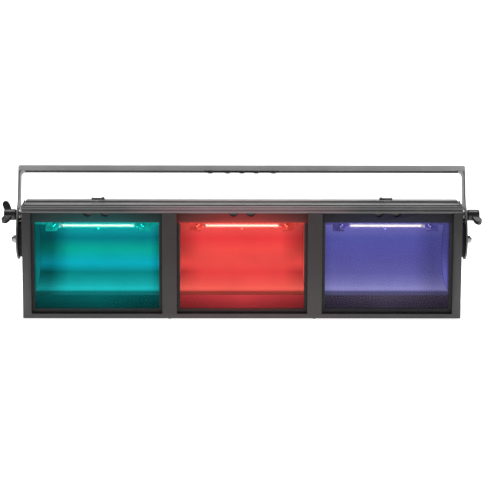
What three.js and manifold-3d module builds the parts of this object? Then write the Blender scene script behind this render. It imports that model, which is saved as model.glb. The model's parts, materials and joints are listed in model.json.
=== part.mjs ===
// Three-cell flood batten for lighting a stage cloth.
// X runs along the batten, the open front faces -Y and Z is up. The batten stands on its base
// screws at z = 0, with the origin under the middle of its bounding box. Millimetres.
import * as THREE from 'three';
import { mergeVertices } from 'three/addons/utils/BufferGeometryUtils.js';
import Module from 'manifold-3d';

const wasm = await Module();
wasm.setup();

// General
const GAP = 0.3;
const SHEET = 1.5;
const SIDES = { left: -1, right: 1 };

// Housing
const CELL_PITCH = 300;
const CELLS = [-CELL_PITCH, 0, CELL_PITCH];
const HALF_LENGTH = 453;
const INNER_HALF_LENGTH = 450.7;
const FRONT_Y = -92;
const REAR_Y = 74;
const BASE_Z = 3.4;
const FLOOR_TOP_Z = BASE_Z + SHEET;
const SILL_TOP_Z = 7.7;
const LEDGE_FRONT_Z = 238.6;
const LEDGE_REAR_Z = 240;
const LEDGE_REAR_Y = -38.5;

// Front bezel and the rail over it
const BEZEL_DEPTH = 8;
const BEZEL_BACK_Y = FRONT_Y + BEZEL_DEPTH;
const BEZEL_TOP_Z = 223.4;
const OPENING_HALF_WIDTH = 135;
const OPENING_BOTTOM_Z = 13;
const TOP_RAIL_TOP_Z = 237.7;
const TOP_RAIL_BULGE = 1;
const TOP_RAIL_GROOVE = 1.2;
const SLOT_BACK_Y = -76;
const BAFFLE_FLANGE_Y = -71.8;

// Colour frames and gels
const FRAME_THICKNESS = 5;
const FRAME_Y = -80;
const FRAME_HALF_WIDTH = 138;
const FRAME_BOTTOM_Z = 8;
const FRAME_TOP_Z = 235;
const WINDOW_HALF_WIDTH = 128.5;
const WINDOW_BOTTOM_Z = 22.7;
const WINDOW_TOP_Z = 203;
const FINGER_HOLE_RADIUS = 10;
const FINGER_HOLE_OFFSET = 18;
const FINGER_HOLE_Z = 224.6;
const GEL_THICKNESS = 1;
const GEL_MARGIN = 3;
const GEL_PLAY = 0.4;

// Optics
const LAMP_LENGTH = 189;
const LAMP_RADIUS = 5.6;
const LAMP_Y = -27;
const LAMP_Z = 188;
const REFLECTOR_SHEET = 1.2;
const REFLECTOR_FRONT_HALF_WIDTH = 133.5;
const REFLECTOR_REAR_HALF_WIDTH = 130;
const REFLECTOR_FRONT_Y = -72;
const REFLECTOR_REAR_Y = 60;

// Yoke, in its own frame: origin on the pivot axis, arms along +Z
const PIVOT_Y = -10;
const PIVOT_Z = 156;
const YOKE_LEAN = THREE.MathUtils.degToRad(16.8);
const YOKE_REACH = 154.9;
const YOKE_OUTER_X = 470.5;
const YOKE_SHEET = 3.2;
const YOKE_INNER_X = YOKE_OUTER_X - YOKE_SHEET;
const STRAP_HALF_WIDTH = 17;
const CHANNEL_DEPTH = 10.5;
const YOKE_CORNER_RADIUS = 4;
const YOKE_FILLET_RADIUS = 9;
const PLATE_RADIUS = 42;
const PLATE_NECK_Z = 88;
const BUSH_PLACES = [-67, -30, 0, 30, 67];
const BUSH_RADIUS = 6;
const BUSH_BORE_RADIUS = 4.2;
const BUSH_DEPTH = 14;

// Clamp: a stud on each end plate runs through an arc slot in the yoke plate
const CLAMP_RADIUS = 52;
const CLAMP_Z = PIVOT_Z + CLAMP_RADIUS;
const STUD_RADIUS = 4;
const SLOT_FROM = THREE.MathUtils.degToRad(-31);
const SLOT_TO = THREE.MathUtils.degToRad(15);
const SLOT_HALF_WIDTH = 4.6;
const KNOB_TIP_X = 502;
const KNOB_RADIUS = 12;
const KNOB_WING_REACH = 29;
const KNOB_WING_ANGLE = THREE.MathUtils.degToRad(125);
const KNOB_REST_ANGLES = { left: 0.21, right: -2.04 };

// Roof catches
const CATCH_PIN_X = 290;
const CATCH_Y = -26;
const CATCH_Z = 244.1;

const PAINT = { color: 0x3c3c3b, roughness: 0.5, metalness: 0.3 };
const BLACK = { color: 0x151516, roughness: 0.75, metalness: 0.1 };
const GLOSS_BLACK = { color: 0x1b1b1c, roughness: 0.3, metalness: 0 };
const STEEL = { color: 0xa9aaab, roughness: 0.35, metalness: 1 };
const MIRROR = { color: 0xd9dadb, roughness: 0.2, metalness: 1 };
const CERAMIC = { color: 0xe6e1d5, roughness: 0.6, metalness: 0 };
const QUARTZ = { color: 0xf4f6f7, roughness: 0.05, metalness: 0, transparent: true, opacity: 0.4 };
const GELS = [0x00a596, 0xe63a40, 0x4a45a8];

// ---------------------------------------------------------------- geometry tools

function toSolid(geometry) {
  const bare = geometry.clone();
  bare.deleteAttribute('normal');
  bare.deleteAttribute('uv');
  const merged = mergeVertices(bare, 1e-4);
  return new wasm.Manifold(new wasm.Mesh({
    numProp: 3,
    vertProperties: Float32Array.from(merged.attributes.position.array),
    triVerts: Uint32Array.from(merged.index.array),
  }));
}

function toGeometry(solid) {
  const mesh = solid.getMesh();
  const geometry = new THREE.BufferGeometry();
  geometry.setAttribute('position', new THREE.BufferAttribute(mesh.vertProperties, 3));
  geometry.setIndex(new THREE.BufferAttribute(mesh.triVerts, 1));
  geometry.computeVertexNormals();
  return geometry;
}

function combine(operation, first, others) {
  return toGeometry(others.reduce((sum, next) => sum[operation](toSolid(next)), toSolid(first)));
}

const join = (first, ...others) => combine('add', first, others);
const cut = (first, ...others) => combine('subtract', first, others);
const common = (first, ...others) => combine('intersect', first, others);

function outline(points) {
  return new THREE.Shape(points.map(([u, v]) => new THREE.Vector2(u, v)));
}

function block(x0, x1, y0, y1, z0, z1) {
  const geometry = new THREE.BoxGeometry(x1 - x0, y1 - y0, z1 - z0);
  return geometry.translate((x0 + x1) / 2, (y0 + y1) / 2, (z0 + z1) / 2);
}

// A shape drawn in (y, z), extruded from x0 to x1.
function alongX(shape, x0, x1, curveSegments = 8) {
  const geometry = new THREE.ExtrudeGeometry(shape, {
    depth: x1 - x0, bevelEnabled: false, curveSegments,
  });
  const turn = new THREE.Matrix4().makeBasis(
    new THREE.Vector3(0, 1, 0), new THREE.Vector3(0, 0, 1), new THREE.Vector3(1, 0, 0),
  );
  return geometry.applyMatrix4(turn).translate(x0, 0, 0);
}

// A shape drawn in (x, z), extruded from y0 to y1.
function alongY(shape, y0, y1, curveSegments = 8) {
  const geometry = new THREE.ExtrudeGeometry(shape, {
    depth: y1 - y0, bevelEnabled: false, curveSegments,
  });
  return geometry.rotateX(Math.PI / 2).translate(0, y1, 0);
}

// A shape drawn in (x, y), extruded from z0 to z1.
function alongZ(shape, z0, z1, curveSegments = 8) {
  const geometry = new THREE.ExtrudeGeometry(shape, {
    depth: z1 - z0, bevelEnabled: false, curveSegments,
  });
  return geometry.translate(0, 0, z0);
}

// A profile of [radius, distance] points turned about the X axis.
function turned(profile, segments = 24) {
  const points = profile.map(([radius, distance]) => new THREE.Vector2(radius, distance));
  return new THREE.LatheGeometry(points, segments).rotateZ(-Math.PI / 2);
}

function rod(radius, x0, x1, segments = 24) {
  return turned([[0, x0], [radius, x0], [radius, x1], [0, x1]], segments);
}

function ring(inner, outer, x0, x1, segments = 32) {
  return turned([[inner, x0], [outer, x0], [outer, x1], [inner, x1], [inner, x0]], segments);
}

// The closed outline of a sheet folded along a line of points. It lies to the left of the line,
// or to the right where the thickness is negative.
function foldedSheet(points, thickness) {
  const line = points.map(([u, v]) => new THREE.Vector2(u, v));
  const normals = line.slice(1).map((end, i) => {
    const along = end.clone().sub(line[i]).normalize();
    return new THREE.Vector2(-along.y, along.x);
  });
  const other = line.map((point, i) => {
    const before = normals[Math.max(i - 1, 0)];
    const after = normals[Math.min(i, normals.length - 1)];
    const mitre = before.clone().add(after).divideScalar(1 + before.dot(after));
    return point.clone().addScaledVector(mitre, thickness);
  });
  return new THREE.Shape([...line, ...other.reverse()]);
}

function piece(name, geometry, look) {
  const mesh = new THREE.Mesh(geometry, new THREE.MeshStandardMaterial(look));
  mesh.name = name;
  return mesh;
}

// ---------------------------------------------------------------- housing

const SHELL_LINE = [[REAR_Y, FLOOR_TOP_Z + GAP], [REAR_Y, 190], [60, 208],
  [LEDGE_REAR_Y + 2, LEDGE_REAR_Z - 0.1]];

function baseTray() {
  const profile = outline([
    [BEZEL_BACK_Y + GAP, BASE_Z], [REAR_Y - SHEET - GAP, BASE_Z],
    [REAR_Y - SHEET - GAP, FLOOR_TOP_Z], [SLOT_BACK_Y - GAP, FLOOR_TOP_Z],
    [SLOT_BACK_Y - GAP, SILL_TOP_Z], [BEZEL_BACK_Y + GAP, SILL_TOP_Z],
  ]);
  return alongX(profile, -INNER_HALF_LENGTH, INNER_HALF_LENGTH);
}

function ventSlots() {
  const slots = [];
  for (const cell of CELLS) {
    for (const column of [-60, 0, 60]) {
      for (const y of [10, 24, 38]) {
        slots.push(block(cell + column - 22, cell + column + 22, y, y + 5, 200, 245));
      }
    }
  }
  return slots;
}

function backShell() {
  const shell = alongX(foldedSheet(SHELL_LINE, SHEET), -INNER_HALF_LENGTH, INNER_HALF_LENGTH);
  return cut(shell, ...ventSlots());
}

// The end plate, with a lug on its top edge that locates the cap.
function endPlate(side) {
  const inner = side * (INNER_HALF_LENGTH + GAP);
  const outer = side * HALF_LENGTH;
  const profile = outline([
    [BEZEL_BACK_Y + GAP, BASE_Z], [REAR_Y, BASE_Z], [REAR_Y, 190.6], [60.4, 208.4],
    [-37, 240.6], [-39, 240.6], [-40, 243.4], [-46, 243.4], [-47, 240.5], [-72, 239.6],
    [BEZEL_BACK_Y + GAP, TOP_RAIL_TOP_Z],
  ]);
  return alongX(profile, Math.min(inner, outer), Math.max(inner, outer));
}

function partition(x) {
  const front = BAFFLE_FLANGE_Y + GAP;
  const rear = REAR_Y - SHEET - 2 * GAP;
  const profile = outline([
    [front, FLOOR_TOP_Z + GAP], [rear, FLOOR_TOP_Z + GAP], [rear, 188], [58.4, 205.4],
    [-36, 236.6], [front, 235.6],
  ]);
  return alongX(profile, x - SHEET / 2, x + SHEET / 2);
}

function roofLedge() {
  const line = [[LEDGE_REAR_Y, LEDGE_REAR_Z], [SLOT_BACK_Y, LEDGE_FRONT_Z], [SLOT_BACK_Y, 212]];
  return alongX(foldedSheet(line, SHEET), -INNER_HALF_LENGTH, INNER_HALF_LENGTH);
}

// A ridge strip over the joint of ledge and shell, notched in front under each catch.
function topCap() {
  const underside = LEDGE_REAR_Z + GAP;
  const end = INNER_HALF_LENGTH - GAP;
  const section = outline([
    [-41, underside], [-41, 242.4], [-40, 243], [-26, 243.7], [-16, 242.6], [-13, 240.8],
    [-13, 232.6], [-36, underside],
  ]);
  const ends = outline([[-end, 230], [-end, 240.4], [-end + 3, 245], [end - 3, 245], [end, 240.4],
    [end, 230]]);
  const notches = [-1, 1].map((side) => {
    const middle = side * (CATCH_PIN_X + 15);
    return block(middle - 8.5, middle + 8.5, -42, -35, underside - 1, 242.2);
  });
  return cut(common(alongX(section, -end, end), alongY(ends, -45, -5)), ...notches);
}

function lowerBaffle() {
  const front = SLOT_BACK_Y + GAP;
  const line = [[BAFFLE_FLANGE_Y, 49], [front, 49], [front, FLOOR_TOP_Z + GAP]];
  return alongX(foldedSheet(line, SHEET), -INNER_HALF_LENGTH, INNER_HALF_LENGTH);
}

// A bottom rail and four uprights, with runners behind the uprights that guide the colour frames.
function frontBezel() {
  const plate = block(-HALF_LENGTH, HALF_LENGTH, FRONT_Y, BEZEL_BACK_Y, BASE_Z, BEZEL_TOP_Z);
  const openings = CELLS.map((x) => block(
    x - OPENING_HALF_WIDTH, x + OPENING_HALF_WIDTH, FRONT_Y - 1, BEZEL_BACK_Y + 1,
    OPENING_BOTTOM_Z, BEZEL_TOP_Z + 1,
  ));
  const runnerFront = BEZEL_BACK_Y - 1;
  const runnerBack = SLOT_BACK_Y - GAP;
  const runnerStart = FRAME_HALF_WIDTH + 1;
  const runnerEnd = INNER_HALF_LENGTH - CELL_PITCH - GAP;
  const runners = CELLS.flatMap((x) => [-1, 1].map((side) => {
    const from = x + side * runnerStart;
    const to = x + side * runnerEnd;
    return block(Math.min(from, to), Math.max(from, to), runnerFront, runnerBack,
      SILL_TOP_Z + GAP, BEZEL_TOP_Z);
  }));
  return join(cut(plate, ...openings), ...runners);
}

// A rail with two shallow rounded ribs along its front, and a groove between them.
function frontTopRail() {
  const bottom = BEZEL_TOP_Z + GAP;
  const middle = (bottom + TOP_RAIL_TOP_Z) / 2;
  const rib = (from, to) => [0, 0.25, 0.5, 0.75, 1].map((t) => [
    FRONT_Y + TOP_RAIL_BULGE * (1 - Math.sin(Math.PI * t)), from + (to - from) * t,
  ]);
  const profile = outline([
    [BEZEL_BACK_Y, bottom],
    ...rib(bottom, middle - TOP_RAIL_GROOVE / 2),
    [FRONT_Y + 2 * TOP_RAIL_BULGE, middle],
    ...rib(middle + TOP_RAIL_GROOVE / 2, TOP_RAIL_TOP_Z),
    [BEZEL_BACK_Y, TOP_RAIL_TOP_Z],
  ]);
  return alongX(profile, -HALF_LENGTH, HALF_LENGTH);
}

function terminalCover() {
  const back = REAR_Y + GAP;
  const outer = block(-62, 62, back, 92, 62, 134);
  const hollow = block(-60.5, 60.5, back - 1, 90.5, 63.5, 132.5);
  return cut(outer, hollow);
}

function cableGland() {
  const profile = [[4.2, 0], [9, 0], [9, 3], [7, 3.5], [7, 8], [8, 9], [8, 14], [6, 17], [4.2, 17],
    [4.2, 0]];
  return turned(profile).rotateY(Math.PI / 2);
}

function screwHead(height) {
  return turned([[0, 0], [4.5, 0], [4.2, 0.6 * height], [2.4, height], [0, height]], 16);
}

function housing() {
  const group = new THREE.Group();
  group.add(piece('base_tray', baseTray(), PAINT));
  group.add(piece('back_shell', backShell(), PAINT));
  group.add(piece('roof_ledge', roofLedge(), PAINT));
  group.add(piece('top_cap', topCap(), PAINT));
  group.add(piece('lower_baffle', lowerBaffle(), BLACK));
  group.add(piece('front_bezel', frontBezel(), PAINT));
  group.add(piece('front_top_rail', frontTopRail(), PAINT));
  group.add(piece('terminal_cover', terminalCover(), PAINT));
  const gland = piece('cable_gland', cableGland(), BLACK);
  gland.position.set(38, 83, 62 - GAP);
  group.add(gland);
  for (const [index, x] of [-CELL_PITCH / 2, CELL_PITCH / 2].entries()) {
    group.add(piece(`partition_${index + 1}`, partition(x), PAINT));
    for (const [row, y] of [['front', -80], ['rear', 60]]) {
      const head = screwHead(BASE_Z - GAP).rotateY(Math.PI / 2);
      const screw = piece(`base_screw_${row}_${index + 1}`, head, STEEL);
      screw.position.set(x, y, BASE_Z - GAP);
      group.add(screw);
    }
  }
  for (const [name, side] of Object.entries(SIDES)) {
    group.add(piece(`end_plate_${name}`, endPlate(side), PAINT));
    const screw = piece(`end_screw_${name}`, screwHead(2), STEEL);
    screw.position.set(side * (HALF_LENGTH + GAP), -70, 43);
    screw.rotation.z = side < 0 ? Math.PI : 0;
    group.add(screw);
  }
  return group;
}

// ---------------------------------------------------------------- optics of one cell

// The mirror's section: a short upright lip, a sloping strip, then one sweep behind and over
// the lamp.
function reflectorLine() {
  const floorAndBack = new THREE.CubicBezierCurve(
    new THREE.Vector2(-58, 55), new THREE.Vector2(-10, 48),
    new THREE.Vector2(54, 58), new THREE.Vector2(56, 120),
  );
  const backAndTop = new THREE.CubicBezierCurve(
    new THREE.Vector2(56, 120), new THREE.Vector2(57, 170),
    new THREE.Vector2(28, 209), new THREE.Vector2(-18, 209),
  );
  const sweep = [...floorAndBack.getPoints(9), ...backAndTop.getPoints(9).slice(1)];
  return [[-70.5, 43], [-70.5, 50], ...sweep.map((point) => [point.x, point.y]), [-62, 203]];
}

// Half the width between the mirror's cheeks at depth y.
function reflectorHalfWidth(y) {
  const t = (y - REFLECTOR_FRONT_Y) / (REFLECTOR_REAR_Y - REFLECTOR_FRONT_Y);
  return THREE.MathUtils.lerp(REFLECTOR_FRONT_HALF_WIDTH, REFLECTOR_REAR_HALF_WIDTH, t);
}

function reflector() {
  const sheet = alongX(foldedSheet(reflectorLine(), -REFLECTOR_SHEET),
    -REFLECTOR_FRONT_HALF_WIDTH - 1, REFLECTOR_FRONT_HALF_WIDTH + 1);
  const front = reflectorHalfWidth(REFLECTOR_FRONT_Y);
  const rear = reflectorHalfWidth(REFLECTOR_REAR_Y);
  const plan = outline([
    [-front, REFLECTOR_FRONT_Y], [front, REFLECTOR_FRONT_Y],
    [rear, REFLECTOR_REAR_Y], [-rear, REFLECTOR_REAR_Y],
  ]);
  return common(sheet, alongZ(plan, 40, 215));
}

function cheek(side) {
  const near = REFLECTOR_FRONT_Y + 1;
  const far = REFLECTOR_REAR_Y;
  const inner = (y) => side * (reflectorHalfWidth(y) + GAP);
  const outer = (y) => side * (reflectorHalfWidth(y) + GAP + REFLECTOR_SHEET);
  const plan = outline([[inner(near), near], [outer(near), near], [outer(far), far],
    [inner(far), far]]);
  const section = outline(reflectorLine().slice(1));
  const reach = REFLECTOR_FRONT_HALF_WIDTH + 5;
  return common(alongZ(plan, 40, 215), alongX(section, -reach, reach));
}

// A ceramic block with a contact recess for the lamp, on a bracket from the cheek.
function lampholder(side) {
  const face = LAMP_LENGTH / 2 + GAP;
  const root = reflectorHalfWidth(LAMP_Y) - 3 * GAP;
  const body = block(face, face + 15, -8, 8, -11, 11);
  const lip = block(face - 9, face + 1, -8, 8, -11, -7.5);
  const bracket = block(face + 14, root, -6, 6, 3, 6);
  const holder = join(body, lip, bracket);
  return side < 0 ? holder.rotateZ(Math.PI) : holder;
}

function lamp() {
  const end = LAMP_LENGTH / 2;
  const half = [[0, end], [3, end], [3, end - 3.5], [6.4, end - 4], [6.4, end - 14],
    [3.8, end - 16], [3.8, end - 20], [LAMP_RADIUS, end - 24]];
  const profile = [...half.map(([radius, x]) => [radius, -x]), ...half.reverse()];
  return turned(profile, 20);
}

function optics(cell, number) {
  const group = new THREE.Group();
  group.position.x = cell;
  group.add(piece(`reflector_${number}`, reflector(), MIRROR));
  const bulb = piece(`lamp_${number}`, lamp(), QUARTZ);
  bulb.position.set(0, LAMP_Y, LAMP_Z);
  group.add(bulb);
  for (const [name, side] of Object.entries(SIDES)) {
    group.add(piece(`cheek_${number}_${name}`, cheek(side), MIRROR));
    const holder = piece(`lampholder_${number}_${name}`, lampholder(side), CERAMIC);
    holder.position.set(0, LAMP_Y, LAMP_Z);
    group.add(holder);
  }
  return group;
}

// ---------------------------------------------------------------- colour frames

function colourFrame() {
  const half = FRAME_THICKNESS / 2;
  const corner = 4;
  const edge = outline([
    [-FRAME_HALF_WIDTH, FRAME_BOTTOM_Z], [FRAME_HALF_WIDTH, FRAME_BOTTOM_Z],
    [FRAME_HALF_WIDTH, FRAME_TOP_Z - corner], [FRAME_HALF_WIDTH - corner, FRAME_TOP_Z],
    [-FRAME_HALF_WIDTH + corner, FRAME_TOP_Z], [-FRAME_HALF_WIDTH, FRAME_TOP_Z - corner],
  ]);
  for (const side of [-1, 1]) {
    const hole = new THREE.Path();
    hole.absarc(side * FINGER_HOLE_OFFSET, FINGER_HOLE_Z, FINGER_HOLE_RADIUS, 0, 2 * Math.PI);
    edge.holes.push(hole);
  }
  const reach = WINDOW_HALF_WIDTH + GEL_MARGIN + GEL_PLAY;
  const pocket = GEL_THICKNESS / 2 + GEL_PLAY;
  const grow = GEL_MARGIN + GEL_PLAY;
  return cut(
    alongY(edge, -half, half, 6),
    block(-WINDOW_HALF_WIDTH, WINDOW_HALF_WIDTH, -half - 1, half + 1, WINDOW_BOTTOM_Z, WINDOW_TOP_Z),
    block(-reach, reach, -pocket, pocket, WINDOW_BOTTOM_Z - grow, WINDOW_TOP_Z + grow),
  );
}

function gel() {
  const reach = WINDOW_HALF_WIDTH + GEL_MARGIN;
  const half = GEL_THICKNESS / 2;
  return block(-reach, reach, -half, half, WINDOW_BOTTOM_Z - GEL_MARGIN, WINDOW_TOP_Z + GEL_MARGIN);
}

function colourHolder(cell, number) {
  const group = new THREE.Group();
  group.position.set(cell, FRAME_Y, 0);
  const tint = { color: GELS[number - 1], roughness: 0.25, metalness: 0, transparent: true, opacity: 0.6 };
  group.add(piece(`colour_frame_${number}`, colourFrame(), BLACK));
  group.add(piece(`gel_${number}`, gel(), tint));
  return group;
}

// ---------------------------------------------------------------- yoke

// The bent strap seen from the front: a bar over two arms.
function yokeFront() {
  const inner = YOKE_REACH - CHANNEL_DEPTH;
  const foot = PLATE_NECK_Z - 12;
  const shape = new THREE.Shape();
  shape.moveTo(-YOKE_OUTER_X, foot);
  shape.lineTo(-YOKE_INNER_X, foot);
  shape.lineTo(-YOKE_INNER_X, inner - YOKE_FILLET_RADIUS);
  shape.absarc(-YOKE_INNER_X + YOKE_FILLET_RADIUS, inner - YOKE_FILLET_RADIUS, YOKE_FILLET_RADIUS,
    Math.PI, Math.PI / 2, true);
  shape.absarc(YOKE_INNER_X - YOKE_FILLET_RADIUS, inner - YOKE_FILLET_RADIUS, YOKE_FILLET_RADIUS,
    Math.PI / 2, 0, true);
  shape.lineTo(YOKE_INNER_X, foot);
  shape.lineTo(YOKE_OUTER_X, foot);
  shape.absarc(YOKE_OUTER_X - YOKE_CORNER_RADIUS, YOKE_REACH - YOKE_CORNER_RADIUS,
    YOKE_CORNER_RADIUS, 0, Math.PI / 2, false);
  shape.absarc(-YOKE_OUTER_X + YOKE_CORNER_RADIUS, YOKE_REACH - YOKE_CORNER_RADIUS,
    YOKE_CORNER_RADIUS, Math.PI / 2, Math.PI, false);
  return shape;
}

// The egg-shaped plate at the foot of an arm: round below the pivot, narrowing to the arm above.
function yokePlateOutline() {
  const shape = new THREE.Shape();
  shape.absarc(0, 0, PLATE_RADIUS, Math.PI, 2 * Math.PI, false);
  shape.bezierCurveTo(PLATE_RADIUS, 36, 38, 52, 30, 64);
  shape.quadraticCurveTo(20, 76, STRAP_HALF_WIDTH, PLATE_NECK_Z);
  shape.lineTo(-STRAP_HALF_WIDTH, PLATE_NECK_Z);
  shape.quadraticCurveTo(-20, 76, -30, 64);
  shape.bezierCurveTo(-38, 52, -PLATE_RADIUS, 36, -PLATE_RADIUS, 0);
  return shape;
}

// The arc slot round the pivot, drawn in (y, z). Angles run from the arm towards the front.
function slotOutline() {
  const outer = CLAMP_RADIUS + SLOT_HALF_WIDTH;
  const inner = CLAMP_RADIUS - SLOT_HALF_WIDTH;
  const from = Math.PI / 2 - SLOT_TO;
  const to = Math.PI / 2 - SLOT_FROM;
  const shape = new THREE.Shape();
  shape.absarc(0, 0, outer, from, to, false);
  shape.absarc(CLAMP_RADIUS * Math.cos(to), CLAMP_RADIUS * Math.sin(to), SLOT_HALF_WIDTH,
    to, to + Math.PI, false);
  shape.absarc(0, 0, inner, to, from, true);
  shape.absarc(CLAMP_RADIUS * Math.cos(from), CLAMP_RADIUS * Math.sin(from), SLOT_HALF_WIDTH,
    from + Math.PI, from + 2 * Math.PI, false);
  return shape;
}

function yokePlate(side) {
  const from = side < 0 ? -YOKE_OUTER_X : YOKE_INNER_X;
  const to = from + YOKE_SHEET;
  return cut(
    alongX(yokePlateOutline(), from, to, 10),
    rod(5.6, from - 1, to + 1, 20),
    alongX(slotOutline(), from - 1, to + 1, 10),
  );
}

function yoke() {
  const web = YOKE_REACH - YOKE_SHEET;
  const channelHalf = STRAP_HALF_WIDTH - YOKE_SHEET;
  const channelEnd = YOKE_INNER_X - YOKE_FILLET_RADIUS;
  const strap = cut(
    alongY(yokeFront(), -STRAP_HALF_WIDTH, STRAP_HALF_WIDTH, 6),
    block(-channelEnd, channelEnd, -channelHalf, channelHalf, 0, web),
  );
  const bushes = BUSH_PLACES.map((x) => rod(BUSH_RADIUS, YOKE_REACH - BUSH_DEPTH, web + 1, 20)
    .rotateY(-Math.PI / 2).translate(x, 0, 0));
  const bores = BUSH_PLACES.map((x) => rod(BUSH_BORE_RADIUS, YOKE_REACH - 30, YOKE_REACH + 5, 16)
    .rotateY(-Math.PI / 2).translate(x, 0, 0));
  return cut(join(strap, yokePlate(-1), yokePlate(1), ...bushes), ...bores);
}

function yokeGroup() {
  const group = new THREE.Group();
  group.position.set(0, PIVOT_Y, PIVOT_Z);
  group.rotation.x = -YOKE_LEAN;
  group.add(piece('yoke', yoke(), PAINT));
  return group;
}

// ---------------------------------------------------------------- pivots and clamps

function pivotBolt() {
  const start = HALF_LENGTH + GAP;
  const washer = YOKE_OUTER_X + GAP;
  const nut = rod(8.4, washer + 2, washer + 10, 6);
  return join(rod(5, start, washer + 13), rod(12, washer, washer + 2.5), nut);
}

function frictionDisc() {
  return ring(5.4, 37, HALF_LENGTH + GAP, YOKE_INNER_X - GAP, 40);
}

function clampSpacer() {
  const start = HALF_LENGTH + GAP;
  const end = YOKE_INNER_X - GAP;
  const profile = [[STUD_RADIUS + GAP, start], [13.3, start], [13.3, start + 4], [11.5, start + 5],
    [11.5, end - 4], [13.3, end - 3], [13.3, end], [STUD_RADIUS + GAP, end],
    [STUD_RADIUS + GAP, start]];
  return turned(profile);
}

function clampStud() {
  return rod(STUD_RADIUS, HALF_LENGTH + GAP, KNOB_TIP_X - 11, 16);
}

// A wing knob on the X axis: a thick hub with two rounded wings at its outer end, set in a V.
function wingKnob() {
  const start = YOKE_OUTER_X + 2 * GAP;
  const hubEnd = KNOB_TIP_X - 3.5;
  const hub = turned([[0, start], [10, start], [10, start + 2.5], [KNOB_RADIUS, start + 4],
    [KNOB_RADIUS, hubEnd - 2], [KNOB_RADIUS - 2, hubEnd], [0, hubEnd]]);
  const bore = rod(STUD_RADIUS + GAP, start - 1, hubEnd - 3, 16);
  const shape = new THREE.Shape();
  shape.moveTo(KNOB_TIP_X - 20, 8);
  shape.bezierCurveTo(KNOB_TIP_X - 17, 16, KNOB_TIP_X - 15, KNOB_WING_REACH,
    KNOB_TIP_X - 7, KNOB_WING_REACH);
  shape.bezierCurveTo(KNOB_TIP_X - 2, KNOB_WING_REACH, KNOB_TIP_X, 25, KNOB_TIP_X, 21);
  shape.bezierCurveTo(KNOB_TIP_X, 17, hubEnd, 13, hubEnd - 1, 8);
  const wing = alongY(shape, -4.5, 4.5, 6);
  const second = wing.clone().rotateX(-KNOB_WING_ANGLE);
  return cut(join(hub, wing, second), bore);
}

function pivotSet(name, side) {
  const group = new THREE.Group();
  group.position.set(0, PIVOT_Y, PIVOT_Z);
  group.rotation.z = side < 0 ? Math.PI : 0;
  group.add(piece(`pivot_bolt_${name}`, pivotBolt(), STEEL));
  group.add(piece(`friction_disc_${name}`, frictionDisc(), BLACK));
  const spacer = piece(`clamp_spacer_${name}`, clampSpacer(), STEEL);
  const stud = piece(`clamp_stud_${name}`, clampStud(), STEEL);
  const knob = piece(`wing_knob_${name}`, wingKnob(), GLOSS_BLACK);
  for (const part of [spacer, stud, knob]) {
    part.position.z = CLAMP_RADIUS;
    group.add(part);
  }
  knob.rotation.x = KNOB_REST_ANGLES[name];
  return group;
}

// ---------------------------------------------------------------- roof catches

function roofCatch(side) {
  const end = 3.8;
  const reach = 24;
  const blade = new THREE.Shape();
  blade.absarc(0, 0, end, Math.PI / 2, 1.5 * Math.PI, false);
  blade.absarc(reach - end, 0, end, -Math.PI / 2, Math.PI / 2, false);
  const hole = new THREE.Path();
  hole.absarc(0, 0, 2.3, 0, 2 * Math.PI);
  blade.holes.push(hole);
  const lug = block(reach - 2, reach - 0.5, -3, 3, 1, 3.6);
  const geometry = join(alongZ(blade, 0, 2, 6), lug);
  return side < 0 ? geometry.rotateZ(Math.PI) : geometry;
}

function catchPin() {
  return turned([[0, -0.3], [2, -0.3], [2, 2.3], [2.8, 2.3], [2.8, 3.4], [2, 4], [0, 4]], 16)
    .rotateY(-Math.PI / 2);
}

function catchSet(name, side) {
  const group = new THREE.Group();
  group.position.set(side * CATCH_PIN_X, CATCH_Y, CATCH_Z);
  group.add(piece(`roof_catch_${name}`, roofCatch(side), BLACK));
  group.add(piece(`catch_pin_${name}`, catchPin(), STEEL));
  return group;
}

// ---------------------------------------------------------------- the batten

const batten = new THREE.Group();
batten.add(housing());
CELLS.forEach((x, index) => {
  batten.add(optics(x, index + 1));
  batten.add(colourHolder(x, index + 1));
});
batten.add(yokeGroup());
for (const [name, side] of Object.entries(SIDES)) {
  batten.add(pivotSet(name, side));
  batten.add(catchSet(name, side));
}

export default batten;
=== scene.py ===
"""Looks for the three-cell flood batten: finished metalwork, mirrors, lamps, gels, floor, light and camera.

Everything is in metres in the frame's own axes: X along the batten, the open front faces -Y, Z up.
"""

import json
import math

import bmesh
import bpy
from mathutils import Matrix, Vector

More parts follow.
